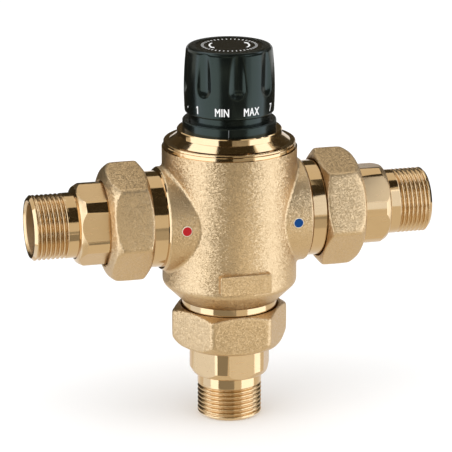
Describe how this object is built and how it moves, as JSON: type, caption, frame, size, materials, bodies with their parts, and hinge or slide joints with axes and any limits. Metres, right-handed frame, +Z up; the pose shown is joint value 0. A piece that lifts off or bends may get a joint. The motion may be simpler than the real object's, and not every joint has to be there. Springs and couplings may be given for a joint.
{
  "type": "thermostatic mixer",
  "caption": "Brass mixing valve for hot and cold water: upright barrel, opposed union inlets with threaded tails, union outlet below and a fluted black dial knob on top.",
  "frame": {"origin": "centre of the outlet tail's open end, the lowest point of the valve", "axes": "+Z up along the barrel and the spindle, +X along the inlet axis towards the cold inlet, -Y towards the front with the bare pad"},
  "size_m": [0.209, 0.0705, 0.1957],
  "materials": {
    "cast_brass": "sand-blasted casting",
    "turned_brass": "bright turned",
    "black_plastic": "semi-gloss moulded",
    "cap_plastic": "glossy disc with pale print",
    "red_marker": "gloss",
    "blue_marker": "gloss",
    "seal_rubber": "matt",
    "gasket_rubber": "matt fibre-filled",
    "spring_steel": "drawn wire",
    "shutter_plastic": "moulded engineering plastic",
    "sensor_copper": "drawn copper alloy",
    "washer_plastic": "slippery white plastic"
  },
  "bodies": {
    "valve": {"body": "cast_brass", "hot_marker": "red_marker", "cold_marker": "blue_marker", "hot_seat": "turned_brass", "return_spring": "spring_steel", "bonnet": "turned_brass", "bonnet_seal": "seal_rubber", "thrust_washer": "washer_plastic", "stop_ring": "black_plastic", "hot_tailpiece": "turned_brass", "cold_tailpiece": "turned_brass", "outlet_tailpiece": "turned_brass", "hot_gasket": "gasket_rubber", "cold_gasket": "gasket_rubber", "outlet_gasket": "gasket_rubber"},
    "dial": {"knob": "black_plastic", "knob_cap": "cap_plastic", "knob_screw": "spring_steel", "spindle": "turned_brass", "spindle_clip": "spring_steel", "spindle_seal_lower": "seal_rubber", "spindle_seal_upper": "seal_rubber"},
    "drive": {"carrier": "turned_brass", "carrier_clip": "spring_steel", "overload_spring": "spring_steel"},
    "overload": {"overload_cup": "turned_brass", "sensor_pin": "spring_steel"},
    "piston": {"shutter": "shutter_plastic", "shutter_seal": "seal_rubber", "sensor": "sensor_copper"},
    "hot_nut": {"hot_union_nut": "cast_brass"},
    "cold_nut": {"cold_union_nut": "cast_brass"},
    "outlet_nut": {"outlet_union_nut": "cast_brass"}
  },
  "joints": [
    {"name": "knob_turn", "type": "hinge", "parent": "valve", "child": "dial", "pos_m": [0, 0, 0.178], "axis": [0, 0, 1], "range_deg": [0, 330]},
    {"name": "carrier_lift", "type": "slide", "parent": "valve", "child": "drive", "axis": [0, 0, 1], "range_m": [0, 0.00275], "deforming": ["return_spring"]},
    {"name": "overload_travel", "type": "slide", "parent": "drive", "child": "overload", "axis": [0, 0, 1], "range_m": [0, 0.0018], "stiffness_N_per_m": 1000, "springref_m": -0.004, "deforming": ["overload_spring"]},
    {"name": "shutter_travel", "type": "slide", "parent": "drive", "child": "piston", "axis": [0, 0, 1], "range_m": [-0.0022, 0], "stiffness_N_per_m": 500, "springref_m": 0.008, "deforming": ["return_spring"]},
    {"name": "hot_nut_turn", "type": "hinge", "parent": "valve", "child": "hot_nut", "pos_m": [-0.0545, 0, 0.1075], "axis": [-1, 0, 0], "continuous": true},
    {"name": "cold_nut_turn", "type": "hinge", "parent": "valve", "child": "cold_nut", "pos_m": [0.0545, 0, 0.1075], "axis": [1, 0, 0], "continuous": true},
    {"name": "outlet_nut_turn", "type": "hinge", "parent": "valve", "child": "outlet_nut", "pos_m": [0, 0, 0.0477], "axis": [0, 0, -1], "continuous": true}
  ],
  "couplings": [
    {"joint": "knob_turn", "follows": "carrier_lift", "rad_per_m": 2094.4}
  ]
}
